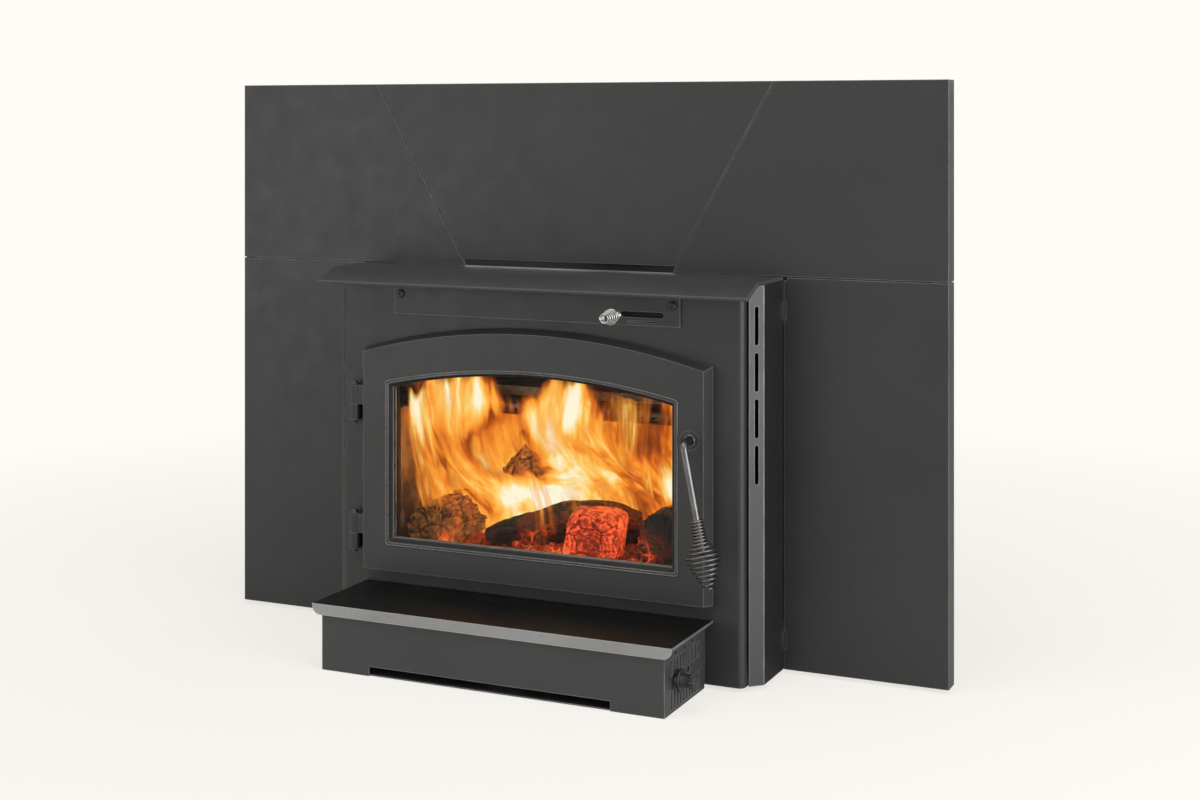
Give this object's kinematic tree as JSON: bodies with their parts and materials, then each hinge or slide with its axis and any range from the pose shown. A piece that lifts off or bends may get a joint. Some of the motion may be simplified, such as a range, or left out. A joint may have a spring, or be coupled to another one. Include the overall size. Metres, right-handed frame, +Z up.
{
  "type": "fireplace insert",
  "caption": "Wood-burning fireplace insert: steel firebox with an arched, side-hinged glass door, coil handle, slide air control, hood, ash shelf with blower, and a folded sheet surround.",
  "frame": {"origin": "middle of the footprint's bounding box, on the hearth", "axes": "+X to the right seen from the room, +Y into the fireplace, +Z up"},
  "size_m": [1.04, 0.6204, 0.755],
  "materials": {
    "charcoal_paint": "matt high-temperature paint with a fine grain",
    "black_paint": "matt black high-temperature paint",
    "cast_paint": "cast iron under matt paint",
    "firebrick": "dry-pressed refractory brick, sooted",
    "vermiculite": "rough insulating board",
    "stainless": "heat-tinted stainless tube",
    "dull_steel": "dull nickel plate",
    "galvanised_steel": "zinc-plated steel",
    "chrome": "bright chrome wire",
    "black_plastic": "satin black",
    "glass_rope": "braided glass-fibre rope",
    "ceramic_glass": "clear ceramic glass",
    "charred_wood": "charred split log",
    "glowing_wood": "glowing log"
  },
  "bodies": {
    "insert": {"surround_lower_left": "charcoal_paint", "surround_lower_right": "charcoal_paint", "surround_upper_left": "charcoal_paint", "surround_upper_right": "charcoal_paint", "surround_top_centre": "charcoal_paint", "surround_joining_frame": "galvanised_steel", "surround_bracket_left": "galvanised_steel", "surround_bracket_right": "galvanised_steel", "casing_left": "black_paint", "casing_right": "black_paint", "casing_rear": "black_paint", "casing_top": "black_paint", "corner_vent_left": "charcoal_paint", "corner_vent_right": "charcoal_paint", "hood_plate": "charcoal_paint", "facade_plate": "charcoal_paint", "firebox_shell": "black_paint", "latch_keeper": "black_paint", "flue_collar": "black_paint", "baffle_board": "vermiculite", "air_tube_1": "stainless", "air_tube_2": "stainless", "air_tube_3": "stainless", "firebrick_floor": "firebrick", "firebrick_rear": "firebrick", "firebrick_left": "firebrick", "firebrick_right": "firebrick", "hinge_bracket_lower": "cast_paint", "hinge_bracket_upper": "cast_paint", "hinge_pin_lower": "cast_paint", "hinge_pin_upper": "cast_paint", "air_cover": "charcoal_paint", "air_cover_screw_left": "black_plastic", "air_cover_screw_right": "black_plastic", "ash_shelf": "charcoal_paint", "blower_box": "charcoal_paint", "blower_motor": "galvanised_steel", "speed_control": "galvanised_steel", "levelling_bolt_left": "galvanised_steel", "levelling_bolt_right": "galvanised_steel", "log_left": "charred_wood", "log_front": "charred_wood", "log_ember": "glowing_wood", "log_right": "charred_wood", "log_leaning": "charred_wood"},
    "door": {"door_frame": "cast_paint", "door_glass": "ceramic_glass", "glass_gasket": "glass_rope", "glass_retainer": "galvanised_steel", "door_rope_gasket": "glass_rope", "door_hinge_lower": "cast_paint", "door_hinge_upper": "cast_paint", "handle_bush": "dull_steel"},
    "handle": {"handle_rod": "dull_steel", "handle_coil_grip": "dull_steel", "latch_pawl": "galvanised_steel"},
    "air_control": {"air_control_slide": "black_paint", "air_control_knob": "chrome"},
    "blower_wheels": {"blower_rotor": "galvanised_steel"},
    "speed_dial": {"speed_knob": "black_plastic"}
  },
  "joints": [
    {"name": "door_swing", "type": "hinge", "parent": "insert", "child": "door", "pos_m": [-0.26302, -0.185, 0.24], "axis": [0, 0, -1], "range_deg": [0, 110]},
    {"name": "handle_turn", "type": "hinge", "parent": "door", "child": "handle", "pos_m": [0.22552, -0.19, 0.3095], "axis": [0, -1, 0], "range_deg": [0, 75]},
    {"name": "air_slide", "type": "slide", "parent": "insert", "child": "air_control", "axis": [1, 0, 0], "range_m": [0, 0.05]},
    {"name": "blower_spin", "type": "hinge", "parent": "insert", "child": "blower_wheels", "pos_m": [0, -0.24, 0.04185], "axis": [1, 0, 0], "continuous": true},
    {"name": "speed_turn", "type": "hinge", "parent": "insert", "child": "speed_dial", "pos_m": [0.25, -0.269, 0.037], "axis": [1, 0, 0], "range_deg": [0, 270]}
  ]
}
